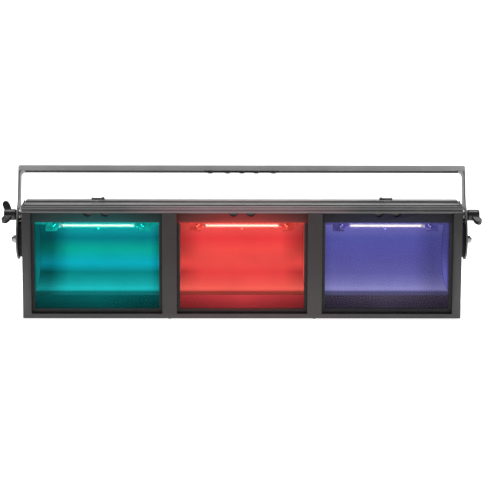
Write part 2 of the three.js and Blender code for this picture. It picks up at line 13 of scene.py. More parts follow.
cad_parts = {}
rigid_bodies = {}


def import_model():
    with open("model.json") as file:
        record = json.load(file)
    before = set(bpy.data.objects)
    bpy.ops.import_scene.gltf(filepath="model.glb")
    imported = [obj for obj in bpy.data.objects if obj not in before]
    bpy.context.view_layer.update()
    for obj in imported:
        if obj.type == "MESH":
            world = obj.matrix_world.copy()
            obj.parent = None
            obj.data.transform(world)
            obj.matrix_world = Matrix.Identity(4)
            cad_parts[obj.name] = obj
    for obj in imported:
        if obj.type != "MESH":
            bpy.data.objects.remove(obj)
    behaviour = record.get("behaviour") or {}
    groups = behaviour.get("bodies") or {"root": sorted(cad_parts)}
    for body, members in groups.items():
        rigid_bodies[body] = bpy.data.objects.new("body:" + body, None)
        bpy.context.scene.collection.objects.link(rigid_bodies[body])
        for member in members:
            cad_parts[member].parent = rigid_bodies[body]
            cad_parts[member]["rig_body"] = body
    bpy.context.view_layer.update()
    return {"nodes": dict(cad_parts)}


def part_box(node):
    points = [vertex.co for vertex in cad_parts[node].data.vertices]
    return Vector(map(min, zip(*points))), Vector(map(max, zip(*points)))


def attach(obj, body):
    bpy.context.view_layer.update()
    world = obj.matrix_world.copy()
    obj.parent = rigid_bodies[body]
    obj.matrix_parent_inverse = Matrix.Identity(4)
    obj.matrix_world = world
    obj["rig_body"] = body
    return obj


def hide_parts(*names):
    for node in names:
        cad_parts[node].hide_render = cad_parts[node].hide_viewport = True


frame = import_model()
NODES = frame["nodes"]
CELLS = (1, 2, 3)
SIDES = {"left": -1, "right": 1}
MM = 0.001


# ------------------------------------------------------------------ material tools


class Shader:
    """A material with one Principled shader, and short calls that add and link its nodes."""

    def __init__(self, name, **values):
        self.material = bpy.data.materials.new(name)
        self.material.use_nodes = True
        self.tree = self.material.node_tree
        self.surface = self.tree.nodes["Principled BSDF"]
        self.output = self.tree.nodes["Material Output"]
        for key, value in values.items():
            socket = key.replace("_", " ").title().replace("Ior", "IOR")
            self.surface.inputs[socket].default_value = value

    def node(self, kind, inputs=None, **settings):
        made = self.tree.nodes.new("ShaderNode" + kind)
        for key, value in settings.items():
            setattr(made, key, value)
        for key, value in (inputs or {}).items():
            if isinstance(value, bpy.types.NodeSocket):
                self.tree.links.new(value, made.inputs[key])
            else:
                made.inputs[key].default_value = value
        return made

    def link(self, source, target):
        self.tree.links.new(source, self.surface.inputs[target])

    def place(self):
        """The point on the surface, in metres, in the piece's own frame."""
        return self.node("TexCoord").outputs["Object"]

    def noise(self, scale, detail=4.0, roughness=0.5, stretch=None):
        vector = self.place()
        if stretch:
            vector = self.node("Mapping", {"Vector": vector, "Scale": stretch}).outputs[0]
        inputs = {"Vector": vector, "Scale": scale, "Detail": detail, "Roughness": roughness}
        return self.node("TexNoise", inputs).outputs["Fac"]

    def ramp(self, value, *stops):
        """Maps 0..1 to greys or colours through (position, colour) stops."""
        made = self.node("ValToRGB", {"Fac": value})
        elements = made.color_ramp.elements
        while len(elements) < len(stops):
            elements.new(0.5)
        for element, (position, colour) in zip(elements, stops):
            element.position = position
            level = colour if isinstance(colour, tuple) else (colour, colour, colour)
            element.color = (*level, 1.0)
        return made.outputs["Color"]

    def math(self, operation, a, b=0.0, clamp=False):
        return self.node("Math", {0: a, 1: b}, operation=operation, use_clamp=clamp).outputs[0]

    def mix(self, factor, a, b, blend="MIX"):
        made = self.node("Mix", data_type="RGBA", blend_type=blend)
        for key, value in (("Factor", factor), ("A", a), ("B", b)):
            socket = next(s for s in made.inputs if s.name == key and s.enabled)
            if isinstance(value, bpy.types.NodeSocket):
                self.tree.links.new(value, socket)
            else:
                socket.default_value = (*value, 1.0) if isinstance(value, tuple) else value
        return next(s for s in made.outputs if s.enabled)

    def bump(self, height, distance, strength=1.0):
        made = self.node("Bump", {"Height": height, "Distance": distance, "Strength": strength})
        self.link(made.outputs["Normal"], "Normal")


def facing_up(shader):
    normal = shader.node("NewGeometry").outputs["Normal"]
    height = shader.node("SeparateXYZ", {0: normal}).outputs["Z"]
    return shader.ramp(height, (0.55, 0.0), (0.95, 1.0))


def edge_wear(shader, radius, amount):
    """0 on flat ground, rising to amount on outer and inner edges."""
    rounded = shader.node("Bevel", {"Radius": radius}, samples=4).outputs[0]
    flat = shader.node("NewGeometry").outputs["Normal"]
    agree = shader.node("VectorMath", {0: rounded, 1: flat}, operation="DOT_PRODUCT").outputs["Value"]
    edge = shader.ramp(agree, (0.80, amount), (0.985, 0.0))
    return shader.math("MULTIPLY", edge, shader.ramp(shader.noise(120.0), (0.42, 0.0), (0.6, 1.0)))


def powder_coat(name, colour, roughness=0.42, worn=(0.16, 0.16, 0.16), painted_light_fronts=None, spill=None):
    """Baked powder coat: fine orange peel, uneven gloss, worn edges, a trace of dust on top.

    The upright faces can take a lighter colour, a painted highlight for the light they catch, and spill
    is the red light that reaches it from the middle cell, painted on as a glow.
    """
    shader = Shader(name, roughness=roughness)
    darker = tuple(0.86 * c for c in colour)
    lighter = tuple(1.14 * c for c in colour)
    tone = shader.ramp(shader.noise(9.0, 6.0, 0.6), (0.35, darker), (0.65, lighter))
    # Painted highlight: faces that do not face up take the lighter colour.
    if painted_light_fronts:
        tone = shader.mix(facing_up(shader), painted_light_fronts, tone)
    settled = shader.ramp(shader.noise(30.0), (0.4, 0.0), (0.75, 0.12))
    dust = shader.math("MULTIPLY", facing_up(shader), settled)
    dusty = shader.mix(dust, tone, (0.20, 0.195, 0.185))
    if spill:
        across = shader.node("SeparateXYZ", {0: shader.place()}).outputs["X"]
        away = shader.math("MULTIPLY", shader.math("ABSOLUTE", across), 2.0)
        shader.link(shader.ramp(away, (0.16, spill), (0.5, (0.0, 0.0, 0.0))), "Emission Color")
        shader.surface.inputs["Emission Strength"].default_value = 1.0
    shader.link(shader.mix(edge_wear(shader, 0.0009, 0.5), dusty, worn), "Base Color")
    gloss = shader.ramp(shader.noise(60.0, 2.0), (0.3, roughness - 0.02), (0.7, roughness + 0.03))
    shader.link(gloss, "Roughness")
    shader.bump(shader.noise(1400.0, 2.0), 0.00003, 0.5)
    return shader.material


def ledge_coat(name):
    """The ledge's coat: painted light on top, painted shade on the lip that hangs behind the colour frames.
    """
    shader = Shader(name, roughness=0.33)
    height = shader.node("SeparateXYZ", {0: shader.place()}).outputs["Z"]
    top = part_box("roof_ledge")[1].z
    patches = shader.noise(9.0, 6.0, 0.6)
    # Painted light: the top is lighter. Painted shade: the lip below it is darker.
    painted_light_top = shader.ramp(patches, (0.35, (0.070, 0.070, 0.070)), (0.65, (0.095, 0.095, 0.095)))
    on_top = shader.ramp(shader.math("DIVIDE", height, top), (0.955, 0.0), (0.965, 1.0))
    tone = shader.mix(on_top, (0.024, 0.026, 0.026), painted_light_top)
    shader.link(shader.mix(edge_wear(shader, 0.0009, 0.4), tone, (0.2, 0.2, 0.2)), "Base Color")
    shader.link(shader.ramp(shader.noise(60.0, 2.0), (0.3, 0.31), (0.7, 0.36)), "Roughness")
    shader.bump(shader.noise(1400.0, 2.0), 0.00003, 0.5)
    return shader.material


def yoke_coat(name):
    """The yoke's grey coat, with painted light along the crossbar and painted shade under it, round the
    bushes.
    """
    shader = Shader(name, roughness=0.45)
    low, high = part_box("yoke")
    height = shader.node("SeparateXYZ", {0: shader.place()}).outputs["Z"]
    share = shader.math("DIVIDE", shader.math("SUBTRACT", height, low.z), high.z - low.z)
    patches = shader.noise(12.0, 5.0, 0.6)
    tone = shader.ramp(patches, (0.35, (0.125, 0.125, 0.124)), (0.65, (0.155, 0.155, 0.153)))
    # Painted light: the crossbar's upper band is paler.
    painted_light_band = shader.ramp(patches, (0.35, (0.34, 0.34, 0.345)), (0.65, (0.42, 0.42, 0.425)))
    coat = shader.mix(shader.ramp(share, (0.935, 0.0), (0.952, 1.0)), tone, painted_light_band)
    across = shader.math("ABSOLUTE", shader.node("SeparateXYZ", {0: shader.place()}).outputs["X"])
    back = shader.node("SeparateXYZ", {0: shader.node("NewGeometry").outputs["Normal"]}).outputs["Y"]
    # Painted shade: darker under the crossbar round the bushes, on faces that do not face up or back.
    low_down = shader.ramp(share, (0.86, 0.0), (0.885, 1.0), (0.935, 1.0), (0.95, 0.0))
    by_bushes = shader.ramp(across, (0.078, 1.0), (0.082, 0.0))
    painted_shade_under_bar = shader.math("MULTIPLY", low_down, by_bushes)
    painted_shade_under_bar = shader.math("MULTIPLY", painted_shade_under_bar, shader.ramp(back, (0.3, 1.0), (0.6, 0.0)))
    painted_shade_under_bar = shader.math("MULTIPLY", painted_shade_under_bar, shader.math("SUBTRACT", 1.0, facing_up(shader)))
    coat = shader.mix(painted_shade_under_bar, coat, (0.025, 0.025, 0.025))
    shader.link(shader.mix(edge_wear(shader, 0.0009, 0.5), coat, (0.4, 0.4, 0.4)), "Base Color")
    shader.link(shader.ramp(shader.noise(60.0, 2.0), (0.3, 0.42), (0.7, 0.5)), "Roughness")
    shader.bump(shader.noise(1400.0, 2.0), 0.00003, 0.5)
    return shader.material


def plated_steel(name):
    """Zinc plating with fine turning marks and a few dull patches."""
    shader = Shader(name, metallic=1.0, roughness=0.3)
    marks = shader.noise(900.0, 3.0, 0.6, stretch=(4.0, 0.4, 0.4))
    shader.link(shader.ramp(marks, (0.3, (0.24, 0.24, 0.245)), (0.7, (0.42, 0.42, 0.43))), "Base Color")
    shader.link(shader.ramp(shader.noise(200.0), (0.3, 0.22), (0.7, 0.42)), "Roughness")
    shader.bump(marks, 0.00003, 0.6)
    return shader.material


def moulded_black(name):
    """Glossy black moulded nylon with a very fine texture and handling marks."""
    shader = Shader(name, roughness=0.25)
    shader.link(shader.ramp(shader.noise(40.0), (0.3, (0.010, 0.010, 0.011)), (0.7, (0.020, 0.020, 0.021))),
                "Base Color")
    shader.link(shader.ramp(shader.noise(150.0, 6.0), (0.35, 0.18), (0.7, 0.38)), "Roughness")
    shader.bump(shader.noise(2200.0, 2.0), 0.00003, 0.4)
    return shader.material


def pressed_fibre(name):
    shader = Shader(name, roughness=0.9)
    fibres = shader.noise(700.0, 6.0, 0.7, stretch=(1.0, 1.0, 0.3))
    shader.link(shader.ramp(fibres, (0.3, (0.004, 0.004, 0.004)), (0.7, (0.012, 0.012, 0.012))), "Base Color")
    shader.bump(fibres, 0.0001, 0.6)
    return shader.material


def steatite(name):
    """Off-white fired ceramic, faintly speckled and heat-stained, with a glow in its own colour as painted
    light.
    """
    shader = Shader(name, roughness=0.55)
    stain_and_painted_glow = shader.ramp(shader.noise(90.0, 5.0), (0.35, (0.52, 0.47, 0.38)), (0.65, (0.82, 0.79, 0.72)))
    shader.link(stain_and_painted_glow, "Base Color")
    # Painted light: the ceramic glows in its own colour.
    shader.link(stain_and_painted_glow, "Emission Color")
    shader.surface.inputs["Emission Strength"].default_value = 0.9
    shader.bump(shader.noise(1500.0, 3.0), 0.00005, 0.5)
    return shader.material


# ------------------------------------------------------------------ mesh tools


def new_object(name, mesh):
    made = bpy.data.objects.new(name, mesh)
    bpy.context.scene.collection.objects.link(made)
    return made


def from_bmesh(name, bm):
    bmesh.ops.recalc_face_normals(bm, faces=bm.faces)
    mesh = bpy.data.meshes.new(name)
    bm.to_mesh(mesh)
    bm.free()
    return new_object(name, mesh)


def smooth(piece, degrees=35.0):
    piece.data.polygons.foreach_set("use_smooth", [True] * len(piece.data.polygons))
    piece.data.set_sharp_from_angle(angle=math.radians(degrees))
    return piece


def settle(piece, material, body, replaced=()):
    """Gives a piece its material, its body and the CAD nodes it stands for."""
    piece.data.materials.clear()
    piece.data.materials.append(material)
    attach(piece, body)
    if replaced:
        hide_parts(*replaced)
    return piece


def body_of_node(node):
    return NODES[node]["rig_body"]


def sharp_edges(bm, angle):
    limit = math.radians(angle)
    return [e for e in bm.edges if len(e.link_faces) == 2 and e.calc_face_angle(0.0) > limit]


def finished(node, material, bevel=0.4 * MM, segments=2, angle=28.0, roll=0.0):
    """The node's own shape with its edges rounded, as a folded, cast or turned part has them.

    A roll rounds the long edges along the top by that much first.
    """
    bm = bmesh.new()
    bm.from_mesh(NODES[node].data)
    bmesh.ops.remove_doubles(bm, verts=bm.verts, dist=2e-6)
    bmesh.ops.dissolve_limit(bm, angle_limit=math.radians(0.4), verts=bm.verts, edges=bm.edges)
    if roll:
        top = max(v.co.z for v in bm.verts) - 1.6 * MM
        folds = [e for e in sharp_edges(bm, angle)
                 if e.calc_length() > 50 * MM and min(v.co.z for v in e.verts) > top]
        bmesh.ops.bevel(bm, geom=folds, offset=roll, segments=5, profile=0.5, affect="EDGES",
                        clamp_overlap=False)
    if bevel:
        bmesh.ops.bevel(bm, geom=sharp_edges(bm, angle), offset=bevel, segments=segments, profile=0.6,
                        affect="EDGES", clamp_overlap=True)
    piece = smooth(from_bmesh(node + "_finished", bm))
    return settle(piece, material, body_of_node(node), [node])


def softened(node, material, voxel, passes=4):
    """The node's own shape with every edge flowing into the next, as a moulding has them."""
    piece = new_object(node + "_moulded", NODES[node].data.copy())
    remesh = piece.modifiers.new("remesh", "REMESH")
    remesh.mode = "VOXEL"
    remesh.voxel_size = voxel
    relax = piece.modifiers.new("relax", "SMOOTH")
    relax.factor = 0.5
    relax.iterations = passes
    bpy.context.view_layer.update()
    evaluated = piece.evaluated_get(bpy.context.evaluated_depsgraph_get())
    mesh = bpy.data.meshes.new_from_object(evaluated)
    piece.modifiers.clear()
    piece.data = mesh
    return settle(smooth(piece, 60.0), material, body_of_node(node), [node])


def closed_sheet(name, inner, outer):
    """A closed sheet between two grids of points. UV "span" runs 0..1 across and along the grid."""
    bm = bmesh.new()
    uv = bm.loops.layers.uv.new("span")
    rows, columns = len(inner), len(inner[0])
    grids = [[[bm.verts.new(p) for p in row] for row in grid] for grid in (inner, outer)]
    where = {}
    for grid in grids:
        for i, row in enumerate(grid):
            for j, vert in enumerate(row):
                where[vert] = (j / (columns - 1), i / (rows - 1))

    def face(*verts):
        for loop in bm.faces.new(verts).loops:
            loop[uv].uv = where[loop.vert]

    for grid in grids:
        for i in range(rows - 1):
            for j in range(columns - 1):
                face(grid[i][j], grid[i][j + 1], grid[i + 1][j + 1], grid[i + 1][j])
    near, far = grids
    for i in range(rows - 1):
        for j in (0, columns - 1):
            face(near[i][j], near[i + 1][j], far[i + 1][j], far[i][j])
    for j in range(columns - 1):
        for i in (0, rows - 1):
            face(near[i][j], near[i][j + 1], far[i][j + 1], far[i][j])
    return from_bmesh(name, bm)


def turned(name, profile, centre, axis, steps=40):
    """A closed solid of revolution from (radius, distance) points that start and end on the axis."""
    bm = bmesh.new()
    turn = Vector((0, 0, 1)).rotation_difference(Vector(axis)).to_matrix()
    rings = []
    for radius, distance in profile:
        if radius == 0:
            rings.append([bm.verts.new(Vector(centre) + turn @ Vector((0, 0, distance)))])
            continue
        angles = [2 * math.pi * k / steps for k in range(steps)]
        points = [Vector((radius * math.cos(a), radius * math.sin(a), distance)) for a in angles]
        rings.append([bm.verts.new(Vector(centre) + turn @ p) for p in points])
    for low, high in zip(rings, rings[1:]):
        for k in range(steps):
            after = k + 1
            quad = [low[k % len(low)], low[after % len(low)], high[after % len(high)], high[k % len(high)]]
            bm.faces.new(list(dict.fromkeys(quad)))
    return smooth(from_bmesh(name, bm))


def tube(name, points, radius, sides=8):
    """A closed tube swept along points."""
    bm = bmesh.new()
    rings = []
    for i, point in enumerate(points):
        along = (points[min(i + 1, len(points) - 1)] - points[max(i - 1, 0)]).normalized()
        turn = Vector((0, 0, 1)).rotation_difference(along).to_matrix()
        ring = []
        for k in range(sides):
            a = 2 * math.pi * k / sides
            ring.append(bm.verts.new(point + turn @ Vector((math.cos(a), math.sin(a), 0)) * radius))
        rings.append(ring)
    for low, high in zip(rings, rings[1:]):
        for k in range(sides):
            bm.faces.new((low[k], low[(k + 1) % sides], high[(k + 1) % sides], high[k]))
    bm.faces.new(rings[0])
    bm.faces.new(rings[-1])
    return smooth(from_bmesh(name, bm), 50.0)


def middle(node):
    low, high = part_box(node)
    return (low + high) / 2


# ------------------------------------------------------------------ the light of the cells


# Where the lamp's light changes along the mirror's section, as a share of the way from the front lip
# over the floor, up the back and over the lamp. The places and colours are given as round values.
LIP = 0.04
FLOOR = 0.16
FOLD = 0.34
BAND = 0.40
BACK = 0.47
SHADE = 0.54
LAMP = 0.65
ROOF = 0.70

# The light at each of those places in front of the lamp, and how much of it is left beside the cheeks.
GLOWS = {
    1: {"floor": (2.5, 1.0, 1.0), "fold": (0.3, 0.5, 0.5), "band": (0.4, 1.0, 1.3), "back": (0.4, 0.9, 0.7),
        "shade": (0.2, 0.4, 0.5), "lamp": (0.8, 0.9, 0.9), "left": 0.25, "band_left": 0.5},
    2: {"floor": (1.1, 1.4, 1.2), "fold": (1.2, 0.7, 0.8), "band": (1.3, 1.0, 1.0), "back": (1.3, 1.0, 1.0),
        "shade": (1.2, 0.6, 0.8), "lamp": (1.3, 1.2, 1.2), "left": 0.5, "band_left": 0.9},
    3: {"floor": (2.5, 2.5, 1.3), "fold": (1.2, 1.2, 1.0), "band": (1.1, 1.1, 1.0), "back": (1.0, 1.0, 1.0),
        "shade": (0.9, 1.0, 1.0), "lamp": (1.5, 1.5, 1.2), "left": 0.7, "band_left": 0.7},
}
PATCH_HALF = 0.33  # half the width of the bright patch, as a share of the mirror's width
PATCH_EDGE = 0.15  # how softly it ends
PATCH_SHIFT = 0.07  # how far it sits towards the batten's middle in an outer cell


def scaled(colour, factor):
    return tuple(factor * c for c in colour)


def glow_stops(glow, left, band_left):
    """The light along the section, with left of it kept and band_left of it kept on floor and band."""
    return [
        (0.0, scaled(glow["floor"], 0.3 * left)),
        (LIP, scaled(glow["floor"], 0.3 * band_left)),
        (FLOOR, scaled(glow["floor"], band_left)),
        (FOLD, scaled(glow["fold"], left)),
        (BAND, scaled(glow["band"], band_left)),
        (BACK, scaled(glow["back"], left)),
        (SHADE, scaled(glow["shade"], left)),
        (LAMP, scaled(glow["lamp"], left)),
        (ROOF, scaled(glow["lamp"], 0.3 * left)),
    ]


def bright_mirror(name, cell):
    """Stippled aluminium lit by the lamp, brighter in the middle of the cell than beside the cheeks."""
    shader = Shader(name, metallic=1.0, roughness=0.32)
    span = shader.node("SeparateXYZ", {0: shader.node("UVMap", uv_map="span").outputs[0]})
    across, along = span.outputs["X"], span.outputs["Y"]
    glow = GLOWS[cell]
    inside = shader.ramp(along, *glow_stops(glow, 1.0, 1.0))
    sides = shader.ramp(along, *glow_stops(glow, glow["left"], glow["band_left"]))
    patch = 0.5 + PATCH_SHIFT * (2 - cell)
    reach = PATCH_HALF + PATCH_EDGE
    spread = shader.ramp(across, (patch - reach, 0.0), (patch - PATCH_HALF, 1.0), (patch + PATCH_HALF, 1.0),
                         (patch + reach, 0.0))
    light = shader.mix(spread, sides, inside)
    stipple = shader.noise(420.0, 3.0, 0.55)
    speck = shader.ramp(stipple, (0.3, 0.92), (0.7, 1.08))
    shader.link(shader.mix(1.0, light, speck, "MULTIPLY"), "Emission Color")
    shader.surface.inputs["Emission Strength"].default_value = 1.0
    shader.link(shader.ramp(stipple, (0.3, (0.11, 0.11, 0.115)), (0.7, (0.16, 0.16, 0.165))), "Base Color")
    shader.bump(stipple, 0.0004, 0.5)
    return shader.material


def cheek_mirror(name, strength, front_y, depth):
    """The cheek's mirror: dark next to the frame, a bright foot, and a soft glow beside the lamp."""
    shader = Shader(name, metallic=1.0, roughness=0.35)
    place = shader.node("SeparateXYZ", {0: shader.place()})
    share = shader.math("DIVIDE", place.outputs["Z"], 0.21)
    level = shader.ramp(share, (0.25, 1.0), (0.4, 1.0), (0.6, 0.5), (1.0, 0.3))
    inward = shader.math("DIVIDE", shader.math("SUBTRACT", place.outputs["Y"], front_y), depth)
    shade = shader.ramp(inward, (0.24, 0.12), (0.46, 1.0))
    stipple = shader.noise(420.0, 3.0, 0.55)
    speck = shader.ramp(stipple, (0.3, 0.9), (0.7, 1.1))
    light = shader.mix(1.0, shader.mix(1.0, level, shade, "MULTIPLY"), speck, "MULTIPLY")
    shader.link(light, "Emission Color")
    shader.surface.inputs["Emission Strength"].default_value = strength
    shader.link(shader.ramp(stipple, (0.3, (0.11, 0.11, 0.115)), (0.7, (0.16, 0.16, 0.165))), "Base Color")
    shader.bump(stipple, 0.0004, 0.5)
    return shader.material


# How strongly and in what colour the lamps' light is painted on the baffle below each cell.
BAFFLE_TINTS = {1: (1.0, 1.0, 1.0), 2: (3.5, 2.5, 3.5), 3: (3.0, 2.5, 1.0)}


def glowing_baffle(name):
    """Matt black sheet with light of the lamps spilling down it, most in the middle cell."""
    shader = Shader(name, roughness=0.6)
    place = shader.node("SeparateXYZ", {0: shader.place()})
    share = shader.math("DIVIDE", place.outputs["Z"], 0.05)
    level = shader.ramp(share, (0.3, 0.12), (0.6, 0.15), (1.0, 0.27))
    along = shader.math("ADD", place.outputs["X"], 0.5)
    stops = []
    for cell, tint in BAFFLE_TINTS.items():
        low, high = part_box(f"gel_{cell}")
        stops += [(low.x + 0.5, scaled(tint, 0.5)), (middle(f"gel_{cell}").x + 0.5, tint),
                  (high.x + 0.5, scaled(tint, 0.5))]
    gain = shader.ramp(along, *stops)
    shader.link(shader.mix(1.0, level, gain, "MULTIPLY"), "Emission Color")
    shader.link(shader.ramp(shader.noise(80.0), (0.3, (0.012, 0.012, 0.012)), (0.7, (0.024, 0.024, 0.024))),
                "Base Color")
    shader.surface.inputs["Emission Strength"].default_value = 1.0
    shader.bump(shader.noise(900.0), 0.0001, 0.5)
    return shader.material


def filter_film(name, through, line_z, middle_x, half_length):
    """Dyed film: it colours what is behind it, is paler along the lamp as painted glare, and has a skimming
    gloss.

    The film has two faces, so each face lets through the square root of the whole share.
    """
    shader = Shader(name, roughness=0.15, specular_ior_level=0.02)
    tree = shader.tree
    waves = shader.noise(14.0, 3.0, 0.5)
    face = [math.sqrt(c) for c in through]
    thin = tuple(min(1.0, 1.02 * c) for c in face)
    dyed = shader.ramp(waves, (0.35, scaled(face, 0.98)), (0.65, thin))
    # Painted glare: along the lamp's line the film lets more of every colour through.
    painted_lamp_glare = tuple(min(1.0, 0.45 + 0.4 * c) for c in face)
    place = shader.node("SeparateXYZ", {0: shader.place()})
    up = shader.math("ABSOLUTE", shader.math("SUBTRACT", place.outputs["Z"], line_z))
    aside = shader.math("ABSOLUTE", shader.math("SUBTRACT", place.outputs["X"], middle_x))
    near_line = shader.ramp(shader.math("DIVIDE", up, 10 * MM), (0.10, 1.0), (0.52, 0.0))
    near_middle = shader.ramp(shader.math("DIVIDE", aside, half_length), (0.95, 1.0), (1.0, 0.0))
    tint = shader.mix(shader.math("MULTIPLY", near_line, near_middle), dyed, painted_lamp_glare)
    clear = shader.node("BsdfTransparent", {"Color": tint})
    shader.surface.inputs["Base Color"].default_value = (0.0, 0.0, 0.0, 1.0)
    shader.link(shader.ramp(waves, (0.3, 0.10), (0.7, 0.2)), "Roughness")
    both = tree.nodes.new("ShaderNodeAddShader")
    tree.links.new(clear.outputs[0], both.inputs[0])
    tree.links.new(shader.surface.outputs[0], both.inputs[1])
    gloss = shader.node("BsdfGlossy", {"Roughness": 0.12})
    skim = shader.ramp(shader.node("LayerWeight", {"Blend": 0.5}).outputs["Facing"], (0.55, 0.0), (1.0, 0.45))
    shown = tree.nodes.new("ShaderNodeMixShader")
    tree.links.new(skim, shown.inputs[0])
    tree.links.new(both.outputs[0], shown.inputs[1])
    tree.links.new(gloss.outputs[0], shown.inputs[2])
    tree.links.new(shown.outputs[0], shader.output.inputs["Surface"])
    return shader.material


def quartz(name):
    """Thin clear quartz: see-through, with a bright gloss where it turns away."""
    shader = Shader(name, roughness=0.05)
    tree = shader.tree
    shader.surface.inputs["Base Color"].default_value = (0.9, 0.92, 0.95, 1.0)
    clear = shader.node("BsdfTransparent", {"Color": (0.96, 0.97, 0.98, 1.0)})
    edge = shader.node("LayerWeight", {"Blend": 0.25}).outputs["Fresnel"]
    haze = shader.ramp(shader.noise(60.0), (0.4, 0.04), (0.8, 0.14))
    share = shader.math("ADD", edge, haze, clamp=True)
    both = tree.nodes.new("ShaderNodeMixShader")
    tree.links.new(share, both.inputs[0])
    tree.links.new(clear.outputs[0], both.inputs[1])
    tree.links.new(shader.surface.outputs[0], both.inputs[2])
    tree.links.new(both.outputs[0], shader.output.inputs["Surface"])
    return shader.material


def white_hot(name, strength):
    shader = Shader(name, roughness=0.5)
    heat = shader.ramp(shader.noise(300.0), (0.3, (1.0, 0.86, 0.66)), (0.7, (1.0, 0.95, 0.86)))
    shader.link(heat, "Emission Color")
    shader.link(heat, "Base Color")
    shader.surface.inputs["Emission Strength"].default_value = strength
    return shader.material


def spill_lit_frame(name, film, strength, lamp_z, window_z, centre):
    """Matt black frame with the film's coloured light painted on to the metal round its window, and painted
    shade on its top.
    """
    shader = Shader(name, roughness=0.5, specular_ior_level=0.15)
    place = shader.node("SeparateXYZ", {0: shader.place()})
    above = shader.math("SUBTRACT", place.outputs["Z"], lamp_z)
    over = shader.ramp(shader.math("MULTIPLY", above, 20.0), (0.28, 0.0), (0.30, 0.55), (0.42, 0.3),
                       (0.9, 0.10))
    under = shader.math("MULTIPLY", shader.math("SUBTRACT", window_z, place.outputs["Z"]), 100.0)
    below = shader.ramp(under, (0.0, 0.10), (0.05, 0.09), (0.7, 0.0))
    away = shader.math("ABSOLUTE", shader.math("SUBTRACT", place.outputs["X"], centre))
    near = shader.ramp(shader.math("MULTIPLY", away, 7.0), (0.25, 1.0), (0.9, 0.25))
    is_under = shader.math("GREATER_THAN", under, 0.0)
    level = shader.mix(is_under, over, below)
    deep = tuple(c if c == max(film) else 0.7 * c for c in film)
    shader.link(shader.mix(1.0, shader.mix(1.0, level, near, "MULTIPLY"), deep, "MULTIPLY"), "Emission Color")
    shader.surface.inputs["Emission Strength"].default_value = strength
    tone = shader.ramp(shader.noise(60.0), (0.3, (0.032, 0.031, 0.031)), (0.7, (0.040, 0.039, 0.039)))
    shaded = shader.mix(shader.math("GREATER_THAN", above, 0.0145), tone, (0.016, 0.016, 0.015))
    shader.link(shader.mix(edge_wear(shader, 0.0008, 0.5), shaded, (0.08, 0.08, 0.08)), "Base Color")
    shader.bump(shader.noise(1400.0, 2.0), 0.00006, 0.5)
    return shader.material


CHEEK_GLOW = {1: 0.36, 2: 0.75, 3: 0.95}  # strength of the light on the side mirrors
FRAME_SPILL = {1: 0.4, 2: 1.3, 3: 0.22}  # strength of the light spilt on each colour frame
LOOK_DOWN = 0.16  # how far a level line of sight from the front sinks per metre
GEL_MARGIN = 3 * MM  # how far the film reaches behind its frame, past the window
LAMP_END = 19.5 * MM  # the part of the lamp at each end that has no filament
# The share of red, green and blue light each film lets through.
FILM_COLOURS = {1: (0.004, 0.40, 0.40), 2: (0.62, 0.070, 0.060), 3: (0.085, 0.080, 0.33)}


# ------------------------------------------------------------------ the optics of one cell


def section_points(low, high):
    """The mirror's inner section as (y, z) points: lip, strip, sweep behind and over the lamp."""

    def at(share_y, share_z):
        return Vector((low.y + share_y * (high.y - low.y), low.z + share_z * (high.z - low.z)))

    def curve(a, b, c, d, steps):
        points = []
        for k in range(1, steps + 1):
            t = k / steps
            u = 1 - t
            points.append(u**3 * a + 3 * u * u * t * b + 3 * u * t * t * c + t**3 * d)
        return points

    strip, back, top = at(0.098, 0.072), at(0.9906, 0.4605), at(0.411, 0.993)
    points = [at(0, 0), at(0, 0.0419), strip]
    points += curve(strip, at(0.474, 0.030), at(0.975, 0.090), back, 26)
    points += curve(back, at(0.998, 0.7596), at(0.771, 0.993), top, 26)
    points += [at(0.0666, 0.957)]
    return points


def even(points, step):
    """The same line with a point every step or so, keeping every given point."""
    line = [points[0]]
    for a, b in zip(points, points[1:]):
        count = max(1, round((b - a).length / step))
        line += [a.lerp(b, (k + 1) / count) for k in range(count)]
    return line


MIRROR_PLAY = 0.05 * MM  # the gap between the mirror and each cheek
REAR_TO_FRONT = 130 / 133.5  # how much narrower the mirror is at the back


def mirror(cell, materials):
    node = f"reflector_{cell}"
    low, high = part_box(node)
    centre = (low.x + high.x) / 2
    front_half = (high.x - low.x) / 2
    rear_half = front_half * REAR_TO_FRONT
    thickness = 1.1 * MM
    line = even(section_points(low, high), 5 * MM)
    inner, outer = [], []
    for i, point in enumerate(line):
        before, after = line[max(i - 1, 0)], line[min(i + 1, len(line) - 1)]
        along = (after - before).normalized()
        out = Vector((along.y, -along.x))
        share = (point.x - low.y) / (high.y - low.y)
        half = front_half + (rear_half - front_half) * share - MIRROR_PLAY
        xs = [centre + half * (2 * k / 24 - 1) for k in range(25)]
        inner.append([Vector((x, point.x, point.y)) for x in xs])
        outer.append([Vector((x, *(point + out * thickness))) for x in xs])
    piece = smooth(closed_sheet(f"mirror_{cell}", inner, outer), 40.0)
    return settle(piece, materials["mirror"], "housing", [node])


